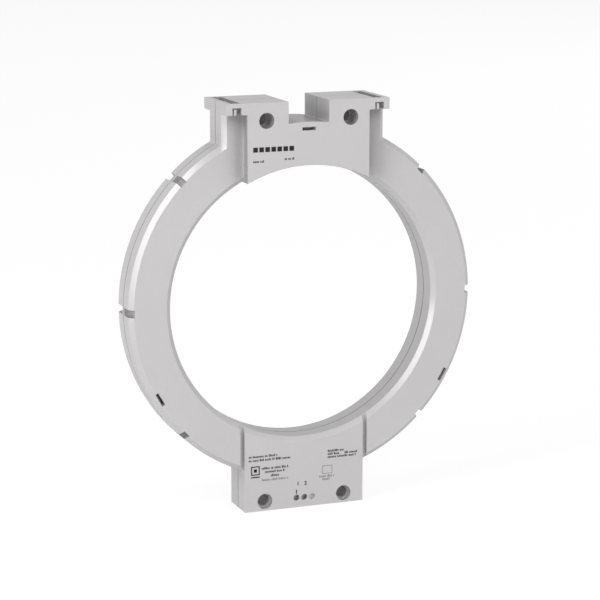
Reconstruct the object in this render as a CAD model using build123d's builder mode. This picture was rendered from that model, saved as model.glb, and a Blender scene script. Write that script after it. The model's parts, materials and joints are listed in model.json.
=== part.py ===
from build123d import *
import math
import os

# Residual current transformer with a 196 mm window. The origin is the centre of the window
# on the split plane between the two half shells. The window's axis runs along Y, the front
# faces -Y and the terminals point down, along -Z.

# Window, core and walls around the coil. Together they set the ring's width and depth
window_diameter = 196.0
core_width = 10.5
core_depth = 9.6
edge_chamfer = 3.2
wall = 2.6
face_wall = 4.6
seam_step = 0.4

# Top block, with two towers and their ears
block_depth = 48.0
block_width = 90.0
tower_rise = 14.5
tower_gap = 30.0
ear_span = 120.0
ear_height = 8.0
ear_slot_width = 6.4
ear_slot_wall = 2.6
ear_window_height = 5.0
ear_fin_width = 1.7
ear_fin_depth = 2.0
ear_fin_shift = 1.1
ear_fin_lip = 4.0
ear_fin_inset = 0.3

# Base block, under the window, as deep as its terminals and leads need
base_width = 90.0

# Mounting holes, one pair through the towers and one pair through the base
top_hole_spacing = 62.0
top_hole_inset = 12.5
base_hole_spacing = 60.0
base_hole_inset = 7.0
hole_diameter = 8.5
head_recess_diameter = 11.0
flange_thickness = 22.0

# Rim notches and front grooves
notch_angles = (0.0, 45.0, 135.0, 180.0, 225.0, 315.0)
notch_width = 5.3
notch_depth = 4.0
notch_web = 2.0
groove_width = 3.2
groove_depth = 3.2

# Snap arms that hold the half shells together, each ending the same depth behind its front face
latch_angles = (90.0, 210.0, 330.0)
latch_length = 10.0
latch_slot_width = 2.4
latch_edge = 3.5
latch_wall = 1.6
latch_arm_thickness = 1.4
latch_play = 0.3
latch_recess = 6.0
latch_hook_height = 0.7
latch_hook_length = 2.4

# Coil
coil_clearance = 0.5
foam_thickness = 1.4
tape_thickness = 0.5
winding_thickness = 1.5
case_wall = 1.2
cushion_thickness = 1.0
core_clearance = 0.4
curved_gap = 0.3

# Terminals
terminal_pitch = 6.0
terminal_inset = 7.0
access_diameter = 4.5
blind_hole_depth = 2.0
wire_entry_diameter = 3.4
thread_diameter = 3.0
thread_clearance = 0.05
neck_clearance = 0.08
screw_head_diameter = 4.7
screw_well_diameter = 5.0
screw_head_height = 1.85
screw_slot_width = 0.6
screw_slot_depth = 0.9
screw_seat_gap = 0.05
cage_width = 4.6
cage_height = 6.0
cage_side = 0.8
cage_nut_thickness = 1.8
cage_jaw_thickness = 1.2
clamp_travel = 3.0
clamp_gap = 0.2
tag_width = 2.6
tag_thickness = 0.8
tag_foot = 0.2
tag_slot_clearance = 0.05
pocket_side_play = 0.1
pocket_end_play = 0.4
body_side_wall = 1.0
body_front_land = 1.0
body_top_wall = 3.2
body_rear_wall = 1.2
body_play = 0.2
seat_rib_thickness = 2.0

# Leads from the winding to the terminals
lead_diameter = 1.4
lead_hole_clearance = 0.3
lead_reach = 13.2
lead_spread = 1.4
lead_straight = 2.9
lead_play = 1.3
tag_tail = 4.2
sleeve_wall = 0.4
sleeve_clearance = 0.15
sleeve_length = 6.0

# Pad ribs behind the top block's front wall
pad_rib_angles = (75.0, 90.0, 105.0)
pad_rib_thickness = 2.0

# Coil and ring surfaces: radii from the window outwards, then planes from the core's middle to the front
window_radius = window_diameter / 2
channel_inner = window_radius + wall
foam_inner = channel_inner + curved_gap
tape_inner = channel_inner + coil_clearance
winding_inner = tape_inner + tape_thickness + curved_gap
case_inner = winding_inner + winding_thickness + curved_gap
pocket_inner = case_inner + case_wall
core_inner = pocket_inner + core_clearance
core_outer = core_inner + core_width
pocket_outer = core_outer + core_clearance
case_outer = pocket_outer + case_wall
winding_outer = case_outer + curved_gap + winding_thickness
tape_outer = winding_outer + curved_gap + tape_thickness
channel_outer = tape_outer + coil_clearance
foam_outer = channel_outer - curved_gap
rib_outer = channel_outer + wall
latch_slot_inner = channel_outer + latch_wall
latch_slot_outer = latch_slot_inner + latch_slot_width
ring_radius = latch_slot_outer + latch_edge
core_face = core_depth / 2
case_floor = core_face + cushion_thickness
case_face = case_floor + case_wall
winding_face = case_face + winding_thickness
tape_face = winding_face + tape_thickness
channel_front = tape_face + foam_thickness
half_ring = channel_front + face_wall
hollow_front = half_ring - wall
chamfer_start = half_ring - edge_chamfer

# Snap arms
latch_slot_middle = (latch_slot_outer + latch_slot_inner) / 2
latch_arm_outer = latch_slot_outer - latch_play
latch_arm_inner = latch_arm_outer - latch_arm_thickness
latch_hook_outer = latch_arm_outer + latch_hook_height
half_block = block_depth / 2
latch_faces = (half_block, half_ring, half_ring)

# Top and base blocks
middle_radius = (window_radius + ring_radius) / 2
pad_hollow_front = half_block - wall
block_half = block_width / 2
base_half = base_width / 2
gap_half = tower_gap / 2
top_height = ring_radius + tower_rise
ear_half = ear_span / 2
ear_bottom = top_height - ear_height
ear_slot_middle = (block_half + ear_half) / 2
ear_slot_end = half_block - ear_slot_wall
neck_root = math.sqrt(middle_radius**2 - ear_half**2)
base_root = math.sqrt(middle_radius**2 - base_half**2)
terminal_drop = terminal_inset + cage_height / 2 + clamp_gap + body_top_wall + tag_tail
base_height = winding_outer + lead_reach + terminal_drop
seat_plane = flange_thickness / 2
boss_radius = head_recess_diameter / 2 + wall
mount_points = [
    (side * spacing / 2, height)
    for side in (-1, 1)
    for spacing, height in (
        (top_hole_spacing, top_height - top_hole_inset),
        (base_hole_spacing, base_hole_inset - base_height),
    )
]

# Terminal planes along Y, from the wire's middle on the split plane to the front
wire_half = wire_entry_diameter / 2
terminal_z = terminal_inset - base_height
terminal_xs = (-terminal_pitch, 0.0)
jaw_inner = wire_half - clamp_gap / 2
jaw_outer = jaw_inner + cage_jaw_thickness
tag_back = clamp_travel + clamp_gap - jaw_inner
tag_front = tag_back + tag_thickness
screw_tip = tag_front + clamp_gap
nut_back = screw_tip + cage_nut_thickness
nut_front = nut_back + cage_nut_thickness
pocket_front = nut_front + clamp_travel + clamp_gap
pocket_back = jaw_outer + pocket_end_play
head_seat = pocket_front + body_front_land
body_front = hollow_front
body_back = pocket_back + body_rear_wall
pocket_half = cage_width / 2 + pocket_side_play
pocket_top = terminal_z + cage_height / 2 + clamp_gap
body_bottom = -base_height + wall
body_top = pocket_top + body_top_wall
body_half = terminal_pitch + pocket_half + body_side_wall
tag_middle = (tag_back + tag_front) / 2
tag_bottom = terminal_z - cage_height / 2 - tag_foot
tag_top = body_top + tag_tail
head_back = head_seat + screw_seat_gap
head_front = head_back + screw_head_height
lead_end_xs = (terminal_xs[0] - lead_spread, terminal_xs[1] + lead_spread)
lead_middle = (lead_end_xs[0] + lead_end_xs[1]) / 2
lead_turn = math.atan2(lead_spread, -winding_outer - tag_top - 2 * lead_straight)
lead_bend = 0.45 * lead_straight / math.tan(lead_turn / 2)
lead_notch_half = (lead_end_xs[1] - lead_end_xs[0]) / 2 + lead_diameter / 2 + lead_play
lead_notch_depth = tag_middle + lead_diameter / 2 + lead_play
lead_hole_radius = lead_diameter / 2 + lead_hole_clearance
sleeve_inner = math.hypot(tag_width, tag_thickness) / 2 + sleeve_clearance
seat_rib_x = body_half + body_play + seat_rib_thickness / 2


def rectangle_between(left, right, bottom, top, mode=Mode.ADD):
    """Draws a rectangle between two pairs of limits in the sketch being built."""
    with Locations(((left + right) / 2, (bottom + top) / 2)):
        Rectangle(right - left, top - bottom, mode=mode)


def block_between(left, right, bottom, top, back, front, mode=Mode.ADD):
    """Adds or cuts a box, between limits along X and Z and two depths in front of the split plane."""
    with BuildSketch(Plane.XZ.offset(back)) as profile:
        rectangle_between(left, right, bottom, top)
    extrude(profile.sketch, amount=front - back, mode=mode)


def polar_block(angle, inner, outer, width, back, front, mode=Mode.ADD):
    """Adds or cuts a box on a radius of the ring, between two radii and two depths."""
    with BuildSketch(Plane.XZ.offset(back)) as profile:
        with PolarLocations((inner + outer) / 2, 1, start_angle=angle):
            Rectangle(outer - inner, width)
    extrude(profile.sketch, amount=front - back, mode=mode)


def ring_between(inner, outer, back, front, mode=Mode.ADD):
    """Adds or cuts a ring about the window's axis, between two radii and two depths."""
    with BuildSketch(Plane.XY) as section:
        rectangle_between(inner, outer, -front, -back)
    revolve(section.sketch, axis=Axis.Y, mode=mode)


def cylinders_between(points, radius, back, front, mode=Mode.ADD):
    """Adds or cuts cylinders along the window's axis, centred on points given as X and Z."""
    with BuildSketch(Plane.XZ.offset(back)) as profile:
        with Locations(*points):
            Circle(radius)
    extrude(profile.sketch, amount=front - back, mode=mode)


def ear_fins(side):
    """Adds an upright fin behind each ear's window, at side 1 on the front shell or -1 on the rear."""
    for slot_middle in (-ear_slot_middle, ear_slot_middle):
        fin_middle = slot_middle - side * ear_fin_shift
        for top, start, end in (
            (top_height, ear_slot_end - ear_fin_depth, ear_slot_end),
            (ear_bottom + ear_fin_lip, ear_slot_end, half_block - ear_fin_inset),
        ):
            back, front = sorted((side * start, side * end))
            block_between(
                fin_middle - ear_fin_width / 2,
                fin_middle + ear_fin_width / 2,
                ear_bottom,
                top,
                back,
                front,
            )


def finish(piece, name):
    """Names a finished piece and writes its file."""
    piece.part.label = name
    export_step(piece.part, f"parts/{name}.step")


os.makedirs("parts", exist_ok=True)

# Outlines in the plane of the ring, as X and Z
with BuildSketch() as tower_gap_profile:
    rectangle_between(-gap_half, gap_half, middle_radius, top_height)
    Circle(ring_radius, mode=Mode.SUBTRACT)

with BuildSketch() as split_outline:
    Circle(ring_radius)
    rectangle_between(-ear_half, ear_half, neck_root, top_height)
    rectangle_between(-base_half, base_half, -base_height, -base_root)
    add(tower_gap_profile.sketch, mode=Mode.SUBTRACT)
    Circle(window_radius, mode=Mode.SUBTRACT)

with BuildSketch() as coil_rib:
    Circle(rib_outer)
    Circle(channel_outer, mode=Mode.SUBTRACT)

with BuildSketch() as gap_wall:
    rectangle_between(-gap_half - wall, gap_half + wall, middle_radius, top_height)
    Circle(channel_outer, mode=Mode.SUBTRACT)

with BuildSketch() as bosses:
    with Locations(*mount_points):
        Circle(boss_radius)

# Half shell, in front of the split plane, with all that both shells share
with BuildPart() as half_shell:
    with BuildSketch(Plane.XY):
        with BuildLine():
            Polyline(
                (window_radius, 0),
                (ring_radius, 0),
                (ring_radius, -chamfer_start),
                (ring_radius - edge_chamfer, -half_ring),
                (window_radius + edge_chamfer, -half_ring),
                (window_radius, -chamfer_start),
                close=True,
            )
        make_face()
    revolve(axis=Axis.Y)
    with BuildSketch(Plane.XY.offset(neck_root)):
        with BuildLine():
            Polyline(
                (-ear_half, 0),
                (-ear_half, -chamfer_start),
                (edge_chamfer - ear_half, -half_ring),
                (ear_half - edge_chamfer, -half_ring),
                (ear_half, -chamfer_start),
                (ear_half, 0),
                close=True,
            )
        make_face()
    extrude(amount=ear_bottom - neck_root)
    block_between(-block_half, block_half, 0, top_height, 0, half_block)
    block_between(-ear_half, ear_half, ear_bottom, top_height, 0, half_block)
    block_between(-base_half, base_half, -base_height, -base_root, 0, half_ring)
    with BuildSketch(Plane.XZ):
        Circle(window_radius)
        add(tower_gap_profile.sketch)
    extrude(amount=half_block, mode=Mode.SUBTRACT)

    # Channel for the coil, and hollows behind the pad, beside it and in the base
    ring_between(channel_inner, channel_outer, 0, channel_front, mode=Mode.SUBTRACT)
    with BuildSketch(Plane.XZ):
        rectangle_between(wall - block_half, block_half - wall, 0, top_height - wall)
        Circle(channel_inner, mode=Mode.SUBTRACT)
        add(coil_rib.sketch, mode=Mode.SUBTRACT)
        add(gap_wall.sketch, mode=Mode.SUBTRACT)
        add(bosses.sketch, mode=Mode.SUBTRACT)
    extrude(amount=pad_hollow_front, mode=Mode.SUBTRACT)
    with BuildSketch(Plane.XZ):
        rectangle_between(block_half, ear_half - wall, neck_root, ear_bottom - wall)
        rectangle_between(wall - ear_half, -block_half, neck_root, ear_bottom - wall)
        rectangle_between(wall - base_half, base_half - wall, wall - base_height, -base_root)
        Circle(rib_outer, mode=Mode.SUBTRACT)
        add(bosses.sketch, mode=Mode.SUBTRACT)
    extrude(amount=hollow_front, mode=Mode.SUBTRACT)
    for rib_angle in pad_rib_angles:
        polar_block(
            rib_angle,
            channel_inner - wall / 2,
            channel_outer + wall / 2,
            pad_rib_thickness,
            channel_front,
            pad_hollow_front,
        )
    for rib_x in (-seat_rib_x, seat_rib_x):
        block_between(
            rib_x - seat_rib_thickness / 2,
            rib_x + seat_rib_thickness / 2,
            body_bottom,
            body_top,
            0,
            hollow_front,
        )

    # Mounting holes, with a recess for each screw head
    cylinders_between(mount_points, hole_diameter / 2, 0, half_block, mode=Mode.SUBTRACT)
    cylinders_between(mount_points, head_recess_diameter / 2, seat_plane, half_block, mode=Mode.SUBTRACT)

    # Slot in each ear, with a window to the face
    for slot_middle in (-ear_slot_middle, ear_slot_middle):
        for top, back, front in (
            (top_height, 0, ear_slot_end),
            (ear_bottom + ear_window_height, ear_slot_end, half_block),
        ):
            block_between(
                slot_middle - ear_slot_width / 2,
                slot_middle + ear_slot_width / 2,
                ear_bottom,
                top,
                back,
                front,
                mode=Mode.SUBTRACT,
            )

    # Rim notches, wire entries and the step along the seam
    for notch_angle in notch_angles:
        polar_block(
            notch_angle,
            ring_radius - notch_depth,
            ring_radius + notch_depth,
            notch_width,
            notch_web,
            half_block,
            mode=Mode.SUBTRACT,
        )
    with BuildSketch(Plane.XY.offset(-base_height)):
        with Locations(*[(terminal_x, 0) for terminal_x in terminal_xs]):
            Circle(wire_half)
    extrude(amount=wall, mode=Mode.SUBTRACT)
    with BuildSketch(Plane.XZ):
        add(split_outline.sketch)
        offset(split_outline.sketch, amount=-seam_step, kind=Kind.INTERSECTION, mode=Mode.SUBTRACT)
    extrude(amount=seam_step, mode=Mode.SUBTRACT)

# Front half shell, with its fins, the slots for the snap arms and the terminals' openings
with BuildPart() as front_shell:
    add(half_shell.part)
    ear_fins(1)
    for latch_angle, latch_face in zip(latch_angles, latch_faces):
        polar_block(
            latch_angle,
            latch_slot_inner,
            latch_slot_outer,
            latch_length,
            0,
            half_block,
            mode=Mode.SUBTRACT,
        )
        polar_block(
            latch_angle,
            latch_slot_middle,
            latch_hook_outer + latch_play,
            latch_length,
            latch_face - latch_recess - latch_hook_length - latch_play,
            latch_face - latch_recess + latch_play,
            mode=Mode.SUBTRACT,
        )
    for groove_left in (-base_half - groove_width, base_half):
        block_between(
            groove_left,
            groove_left + groove_width,
            -ring_radius,
            0,
            half_ring - groove_depth,
            half_ring,
            mode=Mode.SUBTRACT,
        )
    access_points = [(terminal_x, terminal_z) for terminal_x in terminal_xs]
    cylinders_between(access_points, access_diameter / 2, hollow_front, half_ring, mode=Mode.SUBTRACT)
    cylinders_between(
        [(terminal_pitch, terminal_z)],
        access_diameter / 2,
        half_ring - blind_hole_depth,
        half_ring,
        mode=Mode.SUBTRACT,
    )
    block_between(
        lead_middle - lead_notch_half,
        lead_middle + lead_notch_half,
        -rib_outer - wall,
        -middle_radius,
        0,
        lead_notch_depth,
        mode=Mode.SUBTRACT,
    )
finish(front_shell, "front_shell")

# Rear half shell, with its fins, the snap arms and the ribs behind the terminal body
with BuildPart() as rear_shell:
    mirror(half_shell.part, about=Plane.XZ)
    ear_fins(-1)
    for latch_angle, latch_face in zip(latch_angles, latch_faces):
        latch_reach = latch_face - latch_recess
        arm_turn = math.radians(latch_angle)
        arm_plane = Plane(
            origin=(0, 0, 0),
            x_dir=(math.cos(arm_turn), 0, math.sin(arm_turn)),
            z_dir=(-math.sin(arm_turn), 0, math.cos(arm_turn)),
        )
        with BuildSketch(arm_plane):
            with BuildLine():
                Polyline(
                    (latch_arm_inner, wall),
                    (latch_arm_inner, -latch_reach),
                    (latch_arm_outer, -latch_reach),
                    (latch_hook_outer, latch_hook_height - latch_reach),
                    (latch_hook_outer, latch_hook_length - latch_reach),
                    (latch_arm_outer, latch_hook_length - latch_reach),
                    (latch_arm_outer, wall),
                    close=True,
                )
            make_face()
        extrude(amount=latch_length / 2 - latch_play, both=True)
    for rib_x in (-terminal_pitch, terminal_pitch):
        block_between(
            rib_x - seat_rib_thickness / 2,
            rib_x + seat_rib_thickness / 2,
            body_bottom,
            body_top,
            -hollow_front,
            -body_back,
        )
finish(rear_shell, "rear_shell")

# Strip-wound core on its cushions, in a moulded case with a lid
with BuildPart() as core:
    ring_between(core_inner, core_outer, -core_face, core_face)
finish(core, "core")

with BuildPart() as core_cushion_front:
    ring_between(core_inner, core_outer, core_face, case_floor)
finish(core_cushion_front, "core_cushion_front")

with BuildPart() as core_cushion_rear:
    ring_between(core_inner, core_outer, -case_floor, -core_face)
finish(core_cushion_rear, "core_cushion_rear")

with BuildPart() as core_case:
    ring_between(case_inner, case_outer, -case_face, case_floor)
    ring_between(pocket_inner, pocket_outer, -case_floor, case_floor, mode=Mode.SUBTRACT)
finish(core_case, "core_case")

with BuildPart() as core_case_lid:
    ring_between(case_inner, case_outer, case_floor, case_face)
finish(core_case_lid, "core_case_lid")

# Secondary winding all round the case, wrapped in tape with a hole for each lead
with BuildPart() as secondary_winding:
    ring_between(winding_inner, winding_outer, -winding_face, winding_face)
    ring_between(
        winding_inner + winding_thickness,
        winding_outer - winding_thickness,
        -case_face,
        case_face,
        mode=Mode.SUBTRACT,
    )
finish(secondary_winding, "secondary_winding")

with BuildPart() as winding_tape:
    ring_between(tape_inner, tape_outer, -tape_face, tape_face)
    ring_between(
        tape_inner + tape_thickness,
        tape_outer - tape_thickness,
        -winding_face,
        winding_face,
        mode=Mode.SUBTRACT,
    )
    with BuildSketch(Plane.XY.offset(-tape_outer - tape_thickness)):
        with Locations(*[(lead_end_x, -tag_middle) for lead_end_x in lead_end_xs]):
            Circle(lead_hole_radius)
    extrude(amount=3 * tape_thickness, mode=Mode.SUBTRACT)
finish(winding_tape, "winding_tape")

# Foam rings between the wound coil and the two faces
with BuildPart() as front_foam_ring:
    ring_between(foam_inner, foam_outer, tape_face, channel_front)
finish(front_foam_ring, "front_foam_ring")

with BuildPart() as rear_foam_ring:
    ring_between(foam_inner, foam_outer, -channel_front, -tape_face)
finish(rear_foam_ring, "rear_foam_ring")

# Terminal body, with a pocket for each clamp and a stepped hole for each screw
with BuildPart() as terminal_body:
    block_between(-body_half, body_half, body_bottom, body_top, -body_back, body_front)
    for terminal_x in terminal_xs:
        block_between(
            terminal_x - pocket_half,
            terminal_x + pocket_half,
            body_bottom,
            pocket_top,
            -pocket_back,
            pocket_front,
            mode=Mode.SUBTRACT,
        )
        block_between(
            terminal_x - tag_width / 2 - tag_slot_clearance,
            terminal_x + tag_width / 2 + tag_slot_clearance,
            pocket_top,
            body_top,
            tag_back - tag_slot_clearance,
            tag_front + tag_slot_clearance,
            mode=Mode.SUBTRACT,
        )
    cylinders_between(
        access_points,
        thread_diameter / 2 + neck_clearance,
        pocket_front,
        head_seat,
        mode=Mode.SUBTRACT,
    )
    cylinders_between(access_points, screw_well_diameter / 2, head_seat, body_front, mode=Mode.SUBTRACT)
finish(terminal_body, "terminal_body")

# One rising cage, screw, solder tag, lead and sleeve for each terminal
for number, terminal_x in enumerate(terminal_xs, 1):
    screw_point = [(terminal_x, terminal_z)]
    lead_end_x = lead_end_xs[number - 1]

    with BuildPart() as clamp_cage:
        block_between(
            terminal_x - cage_width / 2,
            terminal_x + cage_width / 2,
            terminal_z - cage_height / 2,
            terminal_z + cage_height / 2,
            -jaw_outer,
            nut_front,
        )
        block_between(
            terminal_x - cage_width / 2 + cage_side,
            terminal_x + cage_width / 2 - cage_side,
            terminal_z - cage_height / 2,
            terminal_z + cage_height / 2,
            -jaw_inner,
            nut_back,
            mode=Mode.SUBTRACT,
        )
        cylinders_between(
            screw_point,
            thread_diameter / 2 + thread_clearance,
            nut_back,
            nut_front,
            mode=Mode.SUBTRACT,
        )
    finish(clamp_cage, f"clamp_cage_{number}")

    with BuildPart() as terminal_screw:
        cylinders_between(screw_point, thread_diameter / 2, screw_tip, head_back)
        cylinders_between(screw_point, screw_head_diameter / 2, head_back, head_front)
        block_between(
            terminal_x - screw_head_diameter / 2,
            terminal_x + screw_head_diameter / 2,
            terminal_z - screw_slot_width / 2,
            terminal_z + screw_slot_width / 2,
            head_front - screw_slot_depth,
            head_front,
            mode=Mode.SUBTRACT,
        )
    finish(terminal_screw, f"terminal_screw_{number}")

    with BuildPart() as terminal_tag:
        block_between(
            terminal_x - tag_width / 2,
            terminal_x + tag_width / 2,
            tag_bottom,
            tag_top,
            tag_back,
            tag_front,
        )
    finish(terminal_tag, f"terminal_tag_{number}")

    with BuildPart() as lead:
        with BuildLine(Plane.XZ.offset(tag_middle)):
            FilletPolyline(
                (terminal_x, tag_top),
                (terminal_x, tag_top + lead_straight),
                (lead_end_x, -winding_outer - lead_straight),
                (lead_end_x, -winding_outer),
                radius=lead_bend,
            )
        with BuildSketch(Plane.XY.offset(tag_top)):
            with Locations((terminal_x, -tag_middle)):
                Circle(lead_diameter / 2)
        sweep()
    finish(lead, f"lead_{number}")

    with BuildPart() as lead_sleeve:
        with BuildSketch(Plane.XY.offset(tag_top - sleeve_length / 2)):
            with Locations((terminal_x, -tag_middle)):
                Circle(sleeve_inner + sleeve_wall)
                Circle(sleeve_inner, mode=Mode.SUBTRACT)
        extrude(amount=sleeve_length)
    finish(lead_sleeve, f"lead_sleeve_{number}")
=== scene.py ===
import json
import math
import random

import bmesh
import bpy
from bpy.props import FloatProperty, FloatVectorProperty, IntProperty, PointerProperty
from bpy.types import Operator, Panel, PropertyGroup
from mathutils import Matrix, Vector
from mathutils.bvhtree import BVHTree


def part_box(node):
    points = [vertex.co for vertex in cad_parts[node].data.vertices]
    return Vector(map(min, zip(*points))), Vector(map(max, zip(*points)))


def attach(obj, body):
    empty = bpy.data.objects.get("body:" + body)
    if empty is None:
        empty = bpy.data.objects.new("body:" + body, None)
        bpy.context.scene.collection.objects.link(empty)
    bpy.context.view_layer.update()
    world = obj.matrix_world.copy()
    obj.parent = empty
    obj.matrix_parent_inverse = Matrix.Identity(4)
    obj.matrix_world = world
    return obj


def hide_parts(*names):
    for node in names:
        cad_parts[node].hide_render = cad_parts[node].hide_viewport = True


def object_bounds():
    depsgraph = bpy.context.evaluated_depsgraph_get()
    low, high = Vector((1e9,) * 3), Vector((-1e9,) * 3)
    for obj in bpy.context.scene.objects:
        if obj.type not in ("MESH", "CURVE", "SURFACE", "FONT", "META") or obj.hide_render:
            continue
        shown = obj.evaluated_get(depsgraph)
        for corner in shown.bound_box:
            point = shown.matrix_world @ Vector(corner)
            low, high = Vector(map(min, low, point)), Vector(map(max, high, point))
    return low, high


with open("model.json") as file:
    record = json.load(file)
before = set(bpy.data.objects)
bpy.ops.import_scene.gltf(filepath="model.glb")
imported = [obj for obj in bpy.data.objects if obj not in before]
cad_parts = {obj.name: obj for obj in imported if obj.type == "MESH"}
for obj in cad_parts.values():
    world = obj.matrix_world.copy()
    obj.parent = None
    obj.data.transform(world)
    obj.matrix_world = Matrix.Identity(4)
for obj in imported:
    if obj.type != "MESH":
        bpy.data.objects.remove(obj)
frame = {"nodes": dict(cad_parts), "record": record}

bl_info = {
    "name": "Residual Current Transformer",
    "version": (1, 0, 0),
    "blender": (4, 5, 0),
    "location": "View3D > Sidebar > Transformer",
    "description": "Finishes, coil, terminals, print and studio for a ring-shaped current transformer",
    "category": "Object",
}

MM = 0.001
CAD_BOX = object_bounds()
NODES = frame["nodes"]
MOUNTS = {mount["name"]: mount for mount in frame["record"]["mounts"]}
DRIVER_HOLE = MOUNTS["driver_hole_1"]
PAD_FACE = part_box("front_shell")[0].y
RING_FACE = DRIVER_HOLE["pos_m"][1] - DRIVER_HOLE["dims"]["length_mm"] / 2 * MM
FLOOR_LEVEL = CAD_BOX[0].z
BORE_RADIUS = MOUNTS["window"]["dims"]["r_mm"] * MM

# Edges that stay sharp: the joint between the shells, and the mouths of the snap slots
SEAM_STRIP = 0.6 * MM
SNAP_ANGLES = tuple(math.radians(angle) for angle in (90.0, 210.0, 330.0))
SNAP_SLOT_MIDDLE = 123.3 * MM
SNAP_SLOT_SIZE = (10.0 * MM, 2.4 * MM)
SNAP_SLOT_PLAY = 0.1 * MM

# Angles between faces: the least that is rounded, the least that shows a corner, the most that is flat
LEAST_EDGE_ANGLE = math.radians(30.0)
SHARP_ANGLE = math.radians(40.0)
FLAT_ANGLE = math.radians(0.2)

# How near two points are to count as one, and as lying at the same level
SAME_POINT = 0.001 * MM
SAME_THREAD_POINT = 0.003 * MM
SAME_LEVEL = 0.01 * MM

# Where a ray from an edge starts, and how nearly a face points one way to count as facing it
RAY_START = 0.05 * MM
FACING = 0.9

# The thread: its flats as shares of its pitch, half the angle between its flanks, its steps in a turn
THREAD_ROOT_SHARE = 1 / 4
THREAD_CREST_SHARE = 1 / 8
THREAD_HALF_ANGLE = math.radians(30.0)
THREAD_STEPS = 24
THREAD_SPARE_TURNS = 2

# The screw's head: how far the shank reaches into it, its sides, and its rim's rounding
SHANK_IN_HEAD = 0.3 * MM
HEAD_SIDES = 40
HEAD_EDGE_ROUND = 0.12 * MM

# Small print: blocks in a word, and the blocks' sizes and gaps as shares of the print's height
PRINT_SEED = 7
WORD_LENGTHS = (2, 8)
BLOCK_WIDTHS = (0.3, 0.55)
BLOCK_HEIGHTS = (0.72, 0.72, 1.0)
BLOCK_GAP = 0.17
WORD_GAP = 0.4

# Lines of small print, each as left end, right end and baseline in millimetres on its face
PAD_LINES = ((-41.0, -33.0, 101.4), (-18.0, -11.0, 102.4))
BASE_LINES = (
    (-42.0, -20.0, -110.4),
    (-42.0, -10.5, -113.1),
    (-32.4, -12.3, -119.5),
    (-30.0, -14.7, -122.1),
    (-25.4, -19.2, -125.0),
    (17.9, 30.4, -111.4),
    (17.9, 26.8, -113.7),
    (30.9, 41.6, -113.7),
    (17.8, 40.0, -115.9),
)
FAINT_LINES = ((-32.2, -12.3, -128.0), (11.4, 23.0, -129.8), (13.9, 20.5, -132.0))

# The row of plain blocks on the pad, in millimetres
PAD_BLOCKS = 7
PAD_BLOCK_LEFT = -41.0
PAD_BLOCK_PITCH = 4.4
PAD_BLOCK_WIDTH = 3.4
PAD_BLOCK_BOTTOM = 108.6
PAD_BLOCK_TOP = 112.0

# Plain marks on the base, in millimetres: middles, half sizes, line widths and the bar's four edges
SQUARE_MIDDLE = (-37.2, -119.9)
SQUARE_HALF = 3.3
SQUARE_LINE = 0.8
SQUARE_CORE_HALF = 1.2
SQUARE_BAR = (-40.5, -34.0, -125.1, -124.2)
RECTANGLE_MIDDLE = (17.5, -124.2)
RECTANGLE_HALF = (3.9, 3.1)
RECTANGLE_LINE = 0.45
WEDGE_MIDDLE = -6.13
WEDGE_HALF = 0.55
WEDGE_POINT = -140.4
WEDGE_TOP = -137.1
WEDGE_POINT_SHARE = 0.36

# The terminals' numbers with their middles in millimetres, and a digit's height as a share of its size
DIGITS = (("1", (-4.9, -132.6)), ("2", (0.9, -132.7)))
DIGIT_SHARE = 0.73
DIGIT_BOLDNESS = 0.05

# The Mix node's colour sockets, whose names its other sockets share
COLOUR_INPUTS = (6, 7)
COLOUR_OUTPUT = 2
BLACK = (0.0, 0.0, 0.0)

# The moulding's own grain and flow marks, and the part of the noise's range where nearly all of it lies
SHELL_GRAIN = 0.7 * MM
SHELL_FLOW = 60.0 * MM
GRAIN_RANGE = (0.3, 0.7)

# The depths over which two darkenings fade out: the painted shade into the window's wall, and the dark
# joint away from the joint
BORE_FADE = (0.2 * MM, 0.4 * MM)
JOINT_FADE = (0.45 * MM, 0.6 * MM)

# Painted shade in broad recesses: openness far out as a share of that close by, and the colour left from
# one end to the other
RECESS_OPENNESS = (0.6, 1.0)
RECESS_COLOUR_LEFT = (0.5, 1.0)

# The openness of a narrow hole, which keeps its colour, and that of broad recesses, which get the
# painted shade
NARROW_TO_BROAD = (0.1, 0.35)

# Patterns of the inner pieces: the thickness of the core's strip, and the size of the foam's cells
STRIP_THICKNESS = 0.12 * MM
FOAM_CELL = 0.35 * MM

# The tape: its turns round the coil, and the depth over which one slants by half its width
TAPE_TURNS = 48.0
TAPE_SLANT_DEPTH = 18.0 * MM

# The floor: its radius in metres and its sides, its colour, and how much of its glow the camera sees
FLOOR_RADIUS = 20.0
FLOOR_SIDES = 64
FLOOR_COLOUR = (0.8, 0.8, 0.8, 1.0)
FLOOR_GLOW_SHARE = 0.75

# Lamps, each as name, place, width and height in metres, and the setting that holds its power
LAMPS = (
    ("Tall soft box", (-1.67, -0.83, 0.91), 0.6, 2.4, "side_power"),
    ("Front fill", (1.1, -3.4, 2.25), 3.0, 3.0, "fill_power"),
    ("Back fill", (2.8, 2.1, 1.9), 2.0, 2.0, "back_power"),
)

# Width of the camera's film in millimetres
FILM_WIDTH = 36.0


def length(name, description, default):
    """A length that a user may change, in metres."""
    return FloatProperty(
        name=name,
        description=description,
        default=default,
        min=0.0,
        unit="LENGTH",
        precision=6,
    )


def share(name, description, default):
    """A share from nought to one that a user may change."""
    return FloatProperty(
        name=name,
        description=description,
        default=default,
        min=0.0,
        max=1.0,
        subtype="FACTOR",
    )


def tint(name, description, default):
    """A colour that a user may change."""
    return FloatVectorProperty(
        name=name,
        description=description,
        default=default,
        min=0.0,
        max=1.0,
        size=3,
        subtype="COLOR",
    )


def level(name, description, default):
    """A strength or a power that a user may change."""
    return FloatProperty(name=name, description=description, default=default, min=0.0)


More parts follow.
